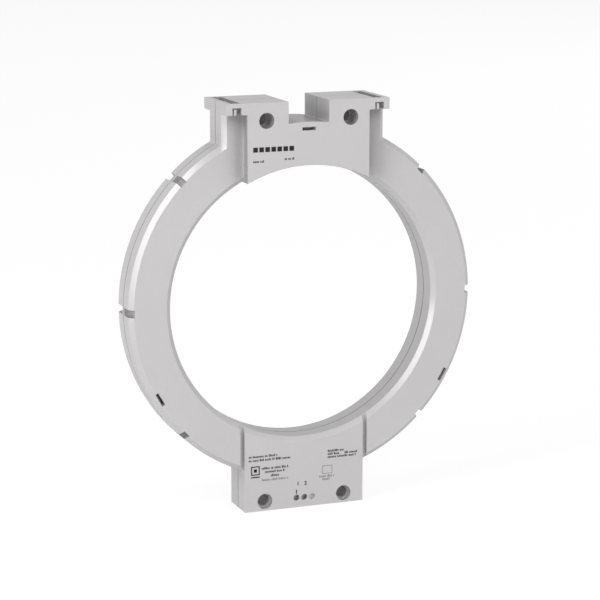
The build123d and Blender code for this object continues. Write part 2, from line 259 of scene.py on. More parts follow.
class ShellFinish(PropertyGroup):
    """Sizes and colours of the moulded half shells"""

    plastic: tint("Plastic", "Colour of the light grey moulding", (0.585, 0.572, 0.578))
    edge_round: length("Edge rounding", "How far the free edges are rounded off", 0.18 * MM)
    grain_size: length("Grain size", "Size of the fine grain that the mould leaves", SHELL_GRAIN)
    grain_depth: length("Grain depth", "Depth of the fine grain that the mould leaves", 0.012 * MM)
    roughness: share("Roughness", "How matte the moulding is", 0.23)
    gloss: share("Gloss", "How strongly the moulding reflects a lamp", 1.0)
    # Painted shade in broad recesses: how strongly it darkens the colour
    recess_shade: share("Recess shade", "How dull the broad recesses are", 1.0)
    # Painted shade on the window's wall: the share of the colour left there
    painted_bore_shade: share("Bore", "Colour left where cables rub the window's wall", 0.83)
    joint_shade: share("Joint", "Colour left in the joint between the shells, where dust sits", 0.62)
    edge_wear: share("Edge wear", "How much paler the handled edges are", 0.25)


class CoilFinish(PropertyGroup):
    """Sizes and colours of the core, its case, the winding and its wrapping"""

    turns: IntProperty(name="Turns", description="Turns of wire round the ring", default=720, min=3)
    wire_width: length("Wire width", "Width of one turn of wire", 0.85 * MM)
    corner_slack: length("Corner slack", "How far a turn bends wider than its thickness", 0.4 * MM)
    foam_round: length("Foam rounding", "How far the foam rings' edges are pressed round", 0.35 * MM)
    core: tint("Core", "Colour of the wound core strip", (0.36, 0.37, 0.38))
    case: tint("Case", "Colour of the core's plastic case", (0.035, 0.036, 0.04))
    wire: tint("Wire", "Colour of the enamelled copper", (0.62, 0.22, 0.07))
    tape: tint("Tape", "Colour of the film wound over the coil", (0.72, 0.5, 0.05))
    foam: tint("Foam", "Colour of the closed foam", (0.1, 0.1, 0.11))


class TerminalFinish(PropertyGroup):
    """Sizes and colours of the terminals and of the leads to them"""

    block: tint("Block", "Colour of the terminal block", (0.05, 0.052, 0.056))
    zinc: tint("Zinc", "Colour of the plated cages", (0.66, 0.68, 0.7))
    steel: tint("Steel", "Colour of the clamping screws", (0.3, 0.3, 0.31))
    tin: tint("Tin", "Colour of the tinned tags", (0.74, 0.73, 0.7))
    lead: tint("Lead", "Colour of the leads' insulation", (0.72, 0.71, 0.66))
    sleeve: tint("Sleeve", "Colour of the shrunk sleeves", (0.02, 0.02, 0.021))
    edge_round: length("Edge rounding", "How far the block and the cages are rounded", 0.18 * MM)
    pitch: length("Thread pitch", "Pitch of the clamping screws", 0.5 * MM)


class PrintFinish(PropertyGroup):
    """Sizes and colours of the printed marks"""

    ink: tint("Ink", "Colour of the dark marks", (0.02, 0.02, 0.022))
    faint_ink: tint("Faint ink", "Colour of the pale grey marks", (0.23, 0.225, 0.23))
    thickness: length("Ink thickness", "How far the ink stands on the plastic", 0.02 * MM)
    small_height: length("Small print height", "Height of the small print's blocks", 1.75 * MM)
    digit_height: length("Digit height", "Height of the terminals' numbers", 2.7 * MM)


class StudioSetup(PropertyGroup):
    """Camera, lamps, room light and floor"""

    camera_place: FloatVectorProperty(
        name="Camera place",
        description="Where the camera stands",
        default=(-0.549713, -1.44843, 0.320176),
        size=3,
        subtype="TRANSLATION",
        unit="LENGTH",
    )
    camera_pitch: FloatProperty(
        name="Camera pitch",
        description="Tilt of the camera above the horizon",
        default=math.radians(-11.741),
        subtype="ANGLE",
    )
    camera_yaw: FloatProperty(
        name="Camera yaw",
        description="Turn of the camera about the vertical, from looking along Y",
        default=math.radians(-20.864),
        subtype="ANGLE",
    )
    camera_lens: level("Lens", "Focal length in millimetres, on a 36 mm wide film", 133.82)
    room_light: level("Room light", "Strength of the even light from all round", 0.51)
    side_power: level("Side lamp", "Power of the tall soft box on the left, in watts", 24.0)
    fill_power: level("Fill lamp", "Power of the broad lamp at the front, in watts", 47.0)
    back_power: level("Back lamp", "Power of the broad lamp behind, in watts", 20.0)
    floor_glow: level("Floor glow", "How white the floor shows", 1.12)


def finished_piece(name, bm, material, body):
    """Turns a bmesh into a piece that rides on a body."""
    mesh = bpy.data.meshes.new(name)
    bm.to_mesh(mesh)
    bm.free()
    mesh.materials.append(material)
    piece = bpy.data.objects.new(name, mesh)
    bpy.context.scene.collection.objects.link(piece)
    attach(piece, body)
    return piece


def dress_nodes(material, *names):
    """Gives nodes whose shape stays a better material."""
    for name in names:
        NODES[name].material_slots[0].material = material


def shade_smooth(bm):
    """Smooth shading that keeps corners sharp."""
    bm.normal_update()
    for face in bm.faces:
        face.smooth = True
    for edge in bm.edges:
        edge.smooth = edge.calc_face_angle(0.0) < SHARP_ANGLE


def flatten_faces(piece):
    """Keeps flat faces flat beside their rounded edges."""
    flat = piece.modifiers.new("Flat faces", "WEIGHTED_NORMAL")
    flat.keep_sharp = True


def in_snap_slot(place):
    """Whether a place lies on the edge of a snap slot's mouth, or within it."""
    for angle in SNAP_ANGLES:
        along = place.x * math.cos(angle) + place.z * math.sin(angle)
        across = place.z * math.cos(angle) - place.x * math.sin(angle)
        beside = abs(along - SNAP_SLOT_MIDDLE) - SNAP_SLOT_SIZE[1] / 2
        beyond = abs(across) - SNAP_SLOT_SIZE[0] / 2
        if max(beside, beyond) < SNAP_SLOT_PLAY:
            return True
    return False


def free_edges(bm, seam):
    """The convex edges with nothing in front of them, apart from those that stay sharp."""
    bm.normal_update()
    solid = BVHTree.FromBMesh(bm)
    chosen = []
    for edge in bm.edges:
        if edge.calc_face_angle_signed(0.0) < LEAST_EDGE_ANGLE:
            continue
        middle = (edge.verts[0].co + edge.verts[1].co) / 2
        if min(abs(vert.co.y) for vert in edge.verts) < seam or in_snap_slot(middle):
            continue
        outward = (edge.link_faces[0].normal + edge.link_faces[1].normal).normalized()
        if solid.ray_cast(middle + outward * RAY_START, outward)[0] is None:
            chosen.append(edge)
    return chosen


def rounded_piece(name, node, radius, material, body, seam=0.0):
    """A copy of a node with its free edges rounded off, which stands for the node."""
    bm = bmesh.new()
    bm.from_mesh(NODES[node].data)
    bmesh.ops.remove_doubles(bm, verts=bm.verts, dist=SAME_POINT)
    bmesh.ops.dissolve_limit(bm, angle_limit=FLAT_ANGLE, verts=bm.verts, edges=bm.edges)
    bmesh.ops.bevel(
        bm,
        geom=free_edges(bm, seam),
        offset=radius,
        offset_type="OFFSET",
        segments=3,
        profile=0.5,
        affect="EDGES",
        clamp_overlap=False,
        loop_slide=False,
        material=-1,
    )
    shade_smooth(bm)
    piece = finished_piece(name, bm, material, body)
    flatten_faces(piece)
    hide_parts(node)
    return piece


def ring_limits(node):
    """Inner and outer radius and half depth of a ring-shaped node."""
    radii = [math.hypot(vert.co.x, vert.co.z) for vert in NODES[node].data.vertices]
    return min(radii), max(radii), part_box(node)[1].y


def extrude_all(bm, vec):
    """Makes flat faces into closed solids, moved along a vector."""
    extruded = bmesh.ops.extrude_face_region(bm, geom=bm.faces[:], use_keep_orig=True)
    moved = [item for item in extruded["geom"] if isinstance(item, bmesh.types.BMVert)]
    bmesh.ops.translate(bm, verts=moved, vec=vec)
    bmesh.ops.recalc_face_normals(bm, faces=bm.faces)


def hollow(bm, flat_faces, border):
    """Leaves only a border of flat faces that stand alone."""
    bmesh.ops.inset_region(
        bm, faces=flat_faces, thickness=border, use_boundary=True, use_even_offset=True
    )
    bmesh.ops.delete(bm, geom=flat_faces, context="FACES_ONLY")


def wound_turns(settings):
    """A closed turn of wire round the case, copied all the way round the ring."""
    inner, outer, face = ring_limits("secondary_winding")
    thickness = face - ring_limits("core_case")[2]
    width = settings.wire_width
    bm = bmesh.new()
    place = Matrix.Translation(((inner + outer) / 2, 0.0, -width / 2))
    size = Matrix.Diagonal((outer - inner, 2 * face, 1.0, 1.0))
    bmesh.ops.create_grid(bm, x_segments=1, y_segments=1, size=0.5, matrix=place @ size)
    bmesh.ops.bevel(
        bm,
        geom=bm.verts[:],
        offset=thickness + settings.corner_slack,
        offset_type="OFFSET",
        segments=2,
        profile=0.5,
        affect="VERTICES",
        material=-1,
    )
    hollow(bm, bm.faces[:], thickness)
    extrude_all(bm, (0.0, 0.0, width))
    shade_smooth(bm)
    bmesh.ops.spin(
        bm,
        geom=bm.verts[:] + bm.edges[:] + bm.faces[:],
        cent=(0.0, 0.0, 0.0),
        axis=(0.0, 1.0, 0.0),
        angle=math.tau * (settings.turns - 1) / settings.turns,
        steps=settings.turns - 1,
        use_duplicate=True,
    )
    return bm


def threaded_shank(radius, pitch, head_end, tip):
    """The screw's threaded shank along Y, closed at both ends."""
    bm = bmesh.new()
    flank = (1.0 - THREAD_ROOT_SHARE - THREAD_CREST_SHARE) / 2 * pitch
    root = radius - flank / math.tan(THREAD_HALF_ANGLE)
    start = head_end - pitch
    outline = (
        (root, 0.0),
        (root, THREAD_ROOT_SHARE * pitch),
        (radius, THREAD_ROOT_SHARE * pitch + flank),
        (radius, THREAD_ROOT_SHARE * pitch + flank + THREAD_CREST_SHARE * pitch),
        (root, pitch),
    )
    verts = [bm.verts.new((across, start + along, 0.0)) for across, along in outline]
    edges = [bm.edges.new(pair) for pair in zip(verts, verts[1:])]
    turns = math.ceil((tip - head_end) / pitch) + THREAD_SPARE_TURNS
    bmesh.ops.spin(
        bm,
        geom=verts + edges,
        cent=(0.0, 0.0, 0.0),
        axis=(0.0, 1.0, 0.0),
        dvec=(0.0, pitch / THREAD_STEPS, 0.0),
        angle=math.tau * turns,
        steps=THREAD_STEPS * turns,
    )
    bmesh.ops.remove_doubles(bm, verts=bm.verts, dist=SAME_THREAD_POINT)
    for end, side in ((head_end, -1.0), (tip, 1.0)):
        bmesh.ops.bisect_plane(
            bm,
            geom=bm.verts[:] + bm.edges[:] + bm.faces[:],
            plane_co=(0.0, end, 0.0),
            plane_no=(0.0, side, 0.0),
            clear_outer=True,
        )
    open_edges = [edge for edge in bm.edges if edge.is_boundary]
    bmesh.ops.holes_fill(bm, edges=open_edges, sides=0)
    bmesh.ops.recalc_face_normals(bm, faces=bm.faces)
    return bm


def slotted_head(radius, seat, slot_floor, top, slot_half):
    """The screw's round head with a straight slot, from its seat to its top."""
    bm = bmesh.new()
    turned = Matrix.Rotation(math.radians(90.0), 4, "X")
    bmesh.ops.create_circle(
        bm,
        cap_ends=True,
        segments=HEAD_SIDES,
        radius=radius,
        matrix=Matrix.Translation((0.0, seat, 0.0)) @ turned,
    )
    extrude_all(bm, (0.0, slot_floor - seat, 0.0))
    for side in (-1.0, 1.0):
        bmesh.ops.bisect_plane(
            bm,
            geom=bm.verts[:] + bm.edges[:] + bm.faces[:],
            plane_co=(0.0, 0.0, side * slot_half),
            plane_no=(0.0, 0.0, side),
        )
    cheeks = [
        face
        for face in bm.faces
        if face.normal.y < -FACING and abs(face.calc_center_median().z) > slot_half
    ]
    raised = bmesh.ops.extrude_face_region(bm, geom=cheeks)
    moved = [item for item in raised["geom"] if isinstance(item, bmesh.types.BMVert)]
    bmesh.ops.translate(bm, verts=moved, vec=(0.0, top - slot_floor, 0.0))
    bmesh.ops.recalc_face_normals(bm, faces=bm.faces)
    bm.normal_update()
    rim = [
        edge
        for edge in bm.edges
        if all(abs(vert.co.y - top) < SAME_LEVEL for vert in edge.verts)
        and edge.calc_face_angle_signed(0.0) > LEAST_EDGE_ANGLE
    ]
    bmesh.ops.bevel(
        bm,
        geom=rim,
        offset=HEAD_EDGE_ROUND,
        offset_type="OFFSET",
        segments=2,
        profile=0.5,
        affect="EDGES",
        clamp_overlap=True,
        material=-1,
    )
    return bm


def clamping_screw(name, node, pitch, material, body):
    """A slotted screw with its thread, which stands for a screw node."""
    low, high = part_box(node)
    middle = (low + high) / 2
    head_radius = (high.x - low.x) / 2
    corners = [vert.co for vert in NODES[node].data.vertices]
    levels = sorted({round(corner.y, 6) for corner in corners})
    top, slot_floor, seat, tip = levels[0], levels[1], levels[-2], levels[-1]
    shank_radius = max(
        math.hypot(corner.x - middle.x, corner.z - middle.z)
        for corner in corners
        if abs(corner.y - tip) < SAME_LEVEL
    )
    slot_half = min(
        abs(corner.z - middle.z) for corner in corners if abs(corner.y - slot_floor) < SAME_LEVEL
    )
    bm = threaded_shank(shank_radius, pitch, seat - SHANK_IN_HEAD, tip)
    head = slotted_head(head_radius, seat, slot_floor, top, slot_half)
    mesh = bpy.data.meshes.new("head")
    head.to_mesh(mesh)
    head.free()
    bm.from_mesh(mesh)
    bpy.data.meshes.remove(mesh)
    bmesh.ops.translate(bm, verts=bm.verts, vec=(middle.x, 0.0, middle.z))
    shade_smooth(bm)
    piece = finished_piece(name, bm, material, body)
    flatten_faces(piece)
    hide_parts(node)


def add_bar(bm, left, right, bottom, top, face):
    """Adds a flat bar on a face, in metres, and returns its points."""
    place = Matrix.Translation(((left + right) / 2, face, (bottom + top) / 2))
    turn = Matrix.Rotation(math.radians(90.0), 4, "X")
    size = Matrix.Diagonal((right - left, top - bottom, 1.0, 1.0))
    made = bmesh.ops.create_grid(bm, x_segments=1, y_segments=1, size=0.5, matrix=place @ turn @ size)
    return made["verts"]


def add_frame(bm, middle, half_width, half_height, line, face):
    """Adds a flat rectangular outline on a face, from millimetres."""
    verts = add_bar(
        bm,
        (middle[0] - half_width) * MM,
        (middle[0] + half_width) * MM,
        (middle[1] - half_height) * MM,
        (middle[1] + half_height) * MM,
        face,
    )
    hollow(bm, list(verts[0].link_faces), line * MM)


def add_small_print(bm, lines, face, height, generator):
    """Adds rows of little blocks in uneven groups, as small print looks from a step away."""
    for line_left, line_right, baseline in lines:
        place = line_left * MM
        end = line_right * MM
        while place < end:
            for _ in range(generator.randint(*WORD_LENGTHS)):
                block = height * generator.uniform(*BLOCK_WIDTHS)
                top = height * generator.choice(BLOCK_HEIGHTS)
                if place + block <= end:
                    add_bar(bm, place, place + block, baseline * MM, baseline * MM + top, face)
                place += block + height * BLOCK_GAP
            place += height * WORD_GAP


def add_digit(bm, digit, middle, height, face):
    """Adds a flat number on a face, from a place in millimetres."""
    curve = bpy.data.curves.new("digit", "FONT")
    curve.body = digit
    curve.align_x = "CENTER"
    curve.align_y = "CENTER"
    curve.size = height / DIGIT_SHARE
    curve.offset = height * DIGIT_BOLDNESS
    number = bpy.data.objects.new("digit", curve)
    mesh = bpy.data.meshes.new_from_object(number)
    place = Matrix.Translation((middle[0] * MM, face, middle[1] * MM))
    mesh.transform(place @ Matrix.Rotation(math.radians(90.0), 4, "X"))
    bm.from_mesh(mesh)
    bpy.data.meshes.remove(mesh)
    bpy.data.objects.remove(number)
    bpy.data.curves.remove(curve)


def new_material(name):
    """A material with a Principled shader: the material, its nodes, its links and the shader."""
    material = bpy.data.materials.new(name)
    material.use_nodes = True
    tree = material.node_tree
    return material, tree.nodes, tree.links, tree.nodes["Principled BSDF"]


def new_group(name, inputs, outputs):
    """A shader node group with number sockets: the group, its input node and its output node."""
    group = bpy.data.node_groups.new(name, "ShaderNodeTree")
    for socket_name, default in inputs:
        socket = group.interface.new_socket(socket_name, in_out="INPUT", socket_type="NodeSocketFloat")
        socket.default_value = default
    for socket_name in outputs:
        group.interface.new_socket(socket_name, in_out="OUTPUT", socket_type="NodeSocketFloat")
    return group, group.nodes.new("NodeGroupInput"), group.nodes.new("NodeGroupOutput")


def place_group(nodes, group, values):
    """Puts a node group into a material and sets its inputs."""
    node = nodes.new("ShaderNodeGroup")
    node.node_tree = group
    for socket_name, value in values.items():
        node.inputs[socket_name].default_value = value
    return node


def math_node(nodes, links, operation, first, second=None):
    """A Math node, whose inputs are sockets or numbers."""
    node = nodes.new("ShaderNodeMath")
    node.operation = operation
    for socket, value in zip(node.inputs, (first, second)):
        if isinstance(value, bpy.types.NodeSocket):
            links.new(value, socket)
        elif value is not None:
            socket.default_value = value
    return node.outputs[0]


def range_node(nodes, links, value, low, high, to_low, to_high):
    """A Map Range node, clamped, from one range to another."""
    node = nodes.new("ShaderNodeMapRange")
    links.new(value, node.inputs["Value"])
    node.inputs["From Min"].default_value = low
    node.inputs["From Max"].default_value = high
    node.inputs["To Min"].default_value = to_low
    node.inputs["To Max"].default_value = to_high
    return node.outputs[0]


def mix_colours(nodes, links, factor, first, second):
    """A colour mix, whose colours are sockets or values."""
    node = nodes.new("ShaderNodeMix")
    node.data_type = "RGBA"
    links.new(factor, node.inputs["Factor"])
    for number, value in zip(COLOUR_INPUTS, (first, second)):
        if isinstance(value, bpy.types.NodeSocket):
            links.new(value, node.inputs[number])
        else:
            node.inputs[number].default_value = (*value, 1.0)
    return node.outputs[COLOUR_OUTPUT]


def raise_bump(nodes, links, shader, height, distance):
    """Feeds a height through a Bump node into the shader's normal."""
    node = nodes.new("ShaderNodeBump")
    node.inputs["Distance"].default_value = distance
    links.new(height, node.inputs["Height"])
    links.new(node.outputs["Normal"], shader.inputs["Normal"])


def shared_group(name, build):
    """A node group that is built once and then shared."""
    if name not in bpy.data.node_groups:
        build(name)
    return bpy.data.node_groups[name]


def build_grain(name):
    """Fine grain and slow flow marks of a moulding, on the piece's own coordinates."""
    inputs = (("Grain size", SHELL_GRAIN), ("Flow size", SHELL_FLOW))
    group, start, end = new_group(name, inputs, ("Grain", "Flow"))
    nodes = group.nodes
    links = group.links
    place = nodes.new("ShaderNodeTexCoord")
    for size_name, output_name, detail in (("Grain size", "Grain", 3.0), ("Flow size", "Flow", 2.0)):
        divide = nodes.new("ShaderNodeVectorMath")
        divide.operation = "DIVIDE"
        links.new(place.outputs["Object"], divide.inputs[0])
        links.new(start.outputs[size_name], divide.inputs[1])
        noise = nodes.new("ShaderNodeTexNoise")
        noise.inputs["Scale"].default_value = 1.0
        noise.inputs["Detail"].default_value = detail
        links.new(divide.outputs[0], noise.inputs["Vector"])
        links.new(noise.outputs["Fac"], end.inputs[output_name])


def build_rubbed_edges(name):
    """A mask of the edges that hands and tools rub."""
    group, start, end = new_group(name, (("Width", 0.5 * MM),), ("Edges",))
    nodes = group.nodes
    links = group.links
    soft = nodes.new("ShaderNodeBevel")
    soft.samples = 4
    links.new(start.outputs["Width"], soft.inputs["Radius"])
    plain = nodes.new("ShaderNodeNewGeometry")
    dot = nodes.new("ShaderNodeVectorMath")
    dot.operation = "DOT_PRODUCT"
    links.new(soft.outputs["Normal"], dot.inputs[0])
    links.new(plain.outputs["Normal"], dot.inputs[1])
    links.new(range_node(nodes, links, dot.outputs["Value"], 0.995, 0.9, 0.0, 1.0), end.inputs["Edges"])


def build_painted_recess_shade(name):
    """Painted shade in broad recesses, darker where they are less open far out than close by, which
    leaves narrow slots and holes as they are.
    """
    inputs = (("Wide reach", 150.0 * MM), ("Near reach", 5.0 * MM), ("Strength", 1.0))
    group, start, end = new_group(name, inputs, ("Shade",))
    nodes = group.nodes
    links = group.links
    openness = {}
    for reach_name in ("Wide reach", "Near reach"):
        corner = nodes.new("ShaderNodeAmbientOcclusion")
        corner.samples = 8
        corner.only_local = True
        links.new(start.outputs[reach_name], corner.inputs["Distance"])
        openness[reach_name] = corner.outputs["AO"]
    near = math_node(nodes, links, "MAXIMUM", openness["Near reach"], 0.05)
    ratio = math_node(nodes, links, "DIVIDE", openness["Wide reach"], near)
    broad = range_node(nodes, links, ratio, *RECESS_OPENNESS, *RECESS_COLOUR_LEFT)
    mask = range_node(nodes, links, openness["Wide reach"], *NARROW_TO_BROAD, 0.0, 1.0)
    strength = math_node(nodes, links, "MULTIPLY", mask, start.outputs["Strength"])
    loss = math_node(nodes, links, "MULTIPLY", strength, math_node(nodes, links, "SUBTRACT", broad, 1.0))
    links.new(math_node(nodes, links, "ADD", loss, 1.0), end.inputs["Shade"])


def grained(nodes, grain_size, flow_size):
    """The shared grain, placed at a finish's own sizes."""
    group = shared_group("Moulded grain", build_grain)
    return place_group(nodes, group, {"Grain size": grain_size, "Flow size": flow_size})


def speckle_gloss(nodes, links, shader, grain, roughness, spread):
    """Lets the grain vary the roughness a little to both sides of its middle."""
    low = roughness - spread
    high = roughness + spread
    speckle = range_node(nodes, links, grain.outputs["Grain"], *GRAIN_RANGE, low, high)
    links.new(speckle, shader.inputs["Roughness"])


def housing_material(settings):
    """Light grey satin plastic, with fine grain, flow marks, rubbed edges, a dark joint, and painted
    shade on the window's wall and in broad recesses.
    """
    material, nodes, links, shader = new_material("Light grey moulding")
    grain = grained(nodes, settings.grain_size, SHELL_FLOW)
    edges = place_group(nodes, shared_group("Rubbed edges", build_rubbed_edges), {})
    painted_recess_shade = place_group(
        nodes, shared_group("Recess shade", build_painted_recess_shade), {"Strength": settings.recess_shade}
    )
    plastic = Vector(settings.plastic)
    flow = range_node(nodes, links, grain.outputs["Flow"], 0.35, 0.65, 0.0, 1.0)
    body = mix_colours(nodes, links, flow, plastic * 0.985, plastic * 1.015)
    rubbed = math_node(nodes, links, "MULTIPLY", edges.outputs["Edges"], settings.edge_wear)
    worn = mix_colours(nodes, links, rubbed, body, plastic * 1.12)
    radius, _, depth = ring_places(nodes, links)
    # Painted shade on the window's wall, fading out just past its surface
    into_wall = math_node(nodes, links, "SUBTRACT", radius, BORE_RADIUS)
    painted_wall_shade = range_node(nodes, links, into_wall, *BORE_FADE, settings.painted_bore_shade, 1.0)
    from_joint = math_node(nodes, links, "ABSOLUTE", depth)
    joint = range_node(nodes, links, from_joint, *JOINT_FADE, settings.joint_shade, 1.0)
    places = math_node(nodes, links, "MULTIPLY", painted_wall_shade, joint)
    # Painted shade: the window's wall and broad recesses are darkened in the base colour, together with
    # the dark joint
    shade = math_node(nodes, links, "MULTIPLY", places, painted_recess_shade.outputs["Shade"])
    links.new(mix_colours(nodes, links, shade, BLACK, worn), shader.inputs["Base Color"])
    speckle_gloss(nodes, links, shader, grain, settings.roughness, spread=0.05)
    shader.inputs["Specular IOR Level"].default_value = settings.gloss
    raise_bump(nodes, links, shader, grain.outputs["Grain"], settings.grain_depth)
    return material


def moulding_material(name, values, roughness, grain_size, grain_depth):
    """Plain moulded plastic of the inner pieces, with grain, flow marks and rubbed edges."""
    material, nodes, links, shader = new_material(name)
    grain = grained(nodes, grain_size, 12.0 * MM)
    edges = place_group(nodes, shared_group("Rubbed edges", build_rubbed_edges), {"Width": 0.3 * MM})
    base = Vector(values)
    body = mix_colours(nodes, links, grain.outputs["Flow"], base * 0.85, base * 1.15)
    rubbed = math_node(nodes, links, "MULTIPLY", edges.outputs["Edges"], 0.4)
    links.new(mix_colours(nodes, links, rubbed, body, base * 2.0), shader.inputs["Base Color"])
    speckle_gloss(nodes, links, shader, grain, roughness, spread=0.06)
    raise_bump(nodes, links, shader, grain.outputs["Grain"], grain_depth)
    return material


def ink_material(name, values):
    """Printed ink, slightly uneven and duller than the plastic under it."""
    material, nodes, links, shader = new_material(name)
    grain = grained(nodes, 0.3 * MM, 4.0 * MM)
    ink = Vector(values)
    body = mix_colours(nodes, links, grain.outputs["Flow"], ink * 0.85, ink * 1.2)
    links.new(body, shader.inputs["Base Color"])
    speckle_gloss(nodes, links, shader, grain, roughness=0.475, spread=0.075)
    shader.inputs["Specular IOR Level"].default_value = 0.2
    raise_bump(nodes, links, shader, grain.outputs["Grain"], distance=0.003 * MM)
    return material


def plated_material(name, values, roughness, spangle):
    """Plated metal with small crystals, fine scratches and duller spots."""
    material, nodes, links, shader = new_material(name)
    grain = grained(nodes, 0.15 * MM, 1.5 * MM)
    place = nodes.new("ShaderNodeTexCoord")
    crystals = nodes.new("ShaderNodeTexVoronoi")
    crystals.inputs["Scale"].default_value = 1.0 / spangle
    links.new(place.outputs["Object"], crystals.inputs["Vector"])
    base = Vector(values)
    body = mix_colours(nodes, links, crystals.outputs["Distance"], base * 0.88, base * 1.08)
    spots = range_node(nodes, links, grain.outputs["Flow"], 0.55, 0.75, 0.0, 0.35)
    links.new(mix_colours(nodes, links, spots, body, base * 0.6), shader.inputs["Base Color"])
    shader.inputs["Metallic"].default_value = 1.0
    speckle_gloss(nodes, links, shader, grain, roughness, spread=0.08)
    raise_bump(nodes, links, shader, grain.outputs["Grain"], distance=0.002 * MM)
    return material


def ring_places(nodes, links):
    """Radius and angle about the window's axis and depth along it, from the piece's own coordinates."""
    place = nodes.new("ShaderNodeTexCoord")
    parts = nodes.new("ShaderNodeSeparateXYZ")
    links.new(place.outputs["Object"], parts.inputs["Vector"])
    square_x = math_node(nodes, links, "MULTIPLY", parts.outputs["X"], parts.outputs["X"])
    square_z = math_node(nodes, links, "MULTIPLY", parts.outputs["Z"], parts.outputs["Z"])
    radius = math_node(nodes, links, "SQRT", math_node(nodes, links, "ADD", square_x, square_z))
    angle = math_node(nodes, links, "ARCTAN2", parts.outputs["Z"], parts.outputs["X"])
    return radius, angle, parts.outputs["Y"]


def core_material(values):
    """Thin strip wound into a ring, whose edges show as fine circles on its faces."""
    material, nodes, links, shader = new_material("Wound strip core")
    radius, _, _ = ring_places(nodes, links)
    grain = grained(nodes, 0.2 * MM, 6.0 * MM)
    layer = math_node(nodes, links, "DIVIDE", radius, STRIP_THICKNESS)
    uneven = math_node(nodes, links, "ADD", layer, grain.outputs["Flow"])
    groove = math_node(nodes, links, "PINGPONG", uneven, 0.5)
    across = math_node(nodes, links, "MULTIPLY", groove, 2.0)
    base = Vector(values)
    links.new(mix_colours(nodes, links, across, base * 0.55, base * 1.1), shader.inputs["Base Color"])
    shader.inputs["Metallic"].default_value = 1.0
    speckle_gloss(nodes, links, shader, grain, roughness=0.4, spread=0.08)
    raise_bump(nodes, links, shader, groove, distance=0.02 * MM)
    return material


def foam_material(values):
    """Closed foam, with small rounded cells and dark pits between them."""
    material, nodes, links, shader = new_material("Closed foam")
    place = nodes.new("ShaderNodeTexCoord")
    cells = nodes.new("ShaderNodeTexVoronoi")
    cells.inputs["Scale"].default_value = 1.0 / FOAM_CELL
    links.new(place.outputs["Object"], cells.inputs["Vector"])
    grain = grained(nodes, 0.1 * MM, 8.0 * MM)
    base = Vector(values)
    pits = range_node(nodes, links, cells.outputs["Distance"], 0.2, 0.7, 1.0, 0.0)
    body = mix_colours(nodes, links, pits, base * 0.5, base * 1.25)
    links.new(body, shader.inputs["Base Color"])
    speckle_gloss(nodes, links, shader, grain, roughness=0.865, spread=0.085)
    raise_bump(nodes, links, shader, pits, distance=0.08 * MM)
    return material


def wire_material(values):
    """Copper wire under clear enamel, a little darker in places."""
    material, nodes, links, shader = new_material("Enamelled copper")
    grain = grained(nodes, 0.25 * MM, 5.0 * MM)
    base = Vector(values)
    body = mix_colours(nodes, links, grain.outputs["Flow"], base * 0.75, base * 1.15)
    links.new(body, shader.inputs["Base Color"])
    shader.inputs["Metallic"].default_value = 1.0
    shader.inputs["Coat Weight"].default_value = 0.8
    shader.inputs["Coat Roughness"].default_value = 0.12
    speckle_gloss(nodes, links, shader, grain, roughness=0.3, spread=0.06)
    raise_bump(nodes, links, shader, grain.outputs["Grain"], distance=0.004 * MM)
    return material


def tape_material(values):
    """Yellow film, wound on in slanting turns that overlap by half."""
    material, nodes, links, shader = new_material("Wound film tape")
    _, angle, depth = ring_places(nodes, links)
    grain = grained(nodes, 0.5 * MM, 10.0 * MM)
    wrap = math_node(nodes, links, "MULTIPLY", angle, TAPE_TURNS / math.tau)
    slant = math_node(nodes, links, "MULTIPLY", depth, 0.5 / TAPE_SLANT_DEPTH)
    turn = math_node(nodes, links, "FRACT", math_node(nodes, links, "ADD", wrap, slant))
    step = range_node(nodes, links, turn, 0.0, 0.05, 0.0, 1.0)
    base = Vector(values)
    film = mix_colours(nodes, links, grain.outputs["Flow"], base * 0.88, base * 1.1)
    body = mix_colours(nodes, links, step, base * 0.6, film)
    links.new(body, shader.inputs["Base Color"])
    speckle_gloss(nodes, links, shader, grain, roughness=0.27, spread=0.07)
    crinkle = math_node(nodes, links, "MULTIPLY", grain.outputs["Grain"], 0.2)
    lifted = math_node(nodes, links, "ADD", turn, crinkle)
    raise_bump(nodes, links, shader, lifted, distance=0.06 * MM)
    return material


class TRANSFORMER_OT_mould_shells(Operator):
    """Make the two half shells of light grey plastic, with rounded edges"""

    bl_idname = "transformer.mould_shells"
    bl_label = "Mould Shells"

    def execute(self, context):
        settings = context.scene.transformer_shells
        material = housing_material(settings)
        for name, node in (("front_housing", "front_shell"), ("rear_housing", "rear_shell")):
            rounded_piece(name, node, settings.edge_round, material, "housing", SEAM_STRIP)
        return {"FINISHED"}


class TRANSFORMER_OT_wind_coil(Operator):
    """Wind the coil, and finish the core, its case, the foam and the tape"""

    bl_idname = "transformer.wind_coil"
    bl_label = "Wind Coil"

    def execute(self, context):
        settings = context.scene.transformer_coil
        coil = finished_piece(
            "secondary_coil", wound_turns(settings), wire_material(settings.wire), "housing"
        )
        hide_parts("secondary_winding")
        case = moulding_material("Dark case moulding", settings.case, 0.45, 0.4 * MM, 0.01 * MM)
        dress_nodes(core_material(settings.core), "core")
        dress_nodes(case, "core_case", "core_case_lid")
        dress_nodes(tape_material(settings.tape), "winding_tape")
        foam = foam_material(settings.foam)
        for name, node in (
            ("front_core_pad", "core_cushion_front"),
            ("rear_core_pad", "core_cushion_rear"),
            ("front_foam_pad", "front_foam_ring"),
            ("rear_foam_pad", "rear_foam_ring"),
        ):
            pad = rounded_piece(name, node, settings.foam_round, foam, "housing")
        return {"FINISHED"}


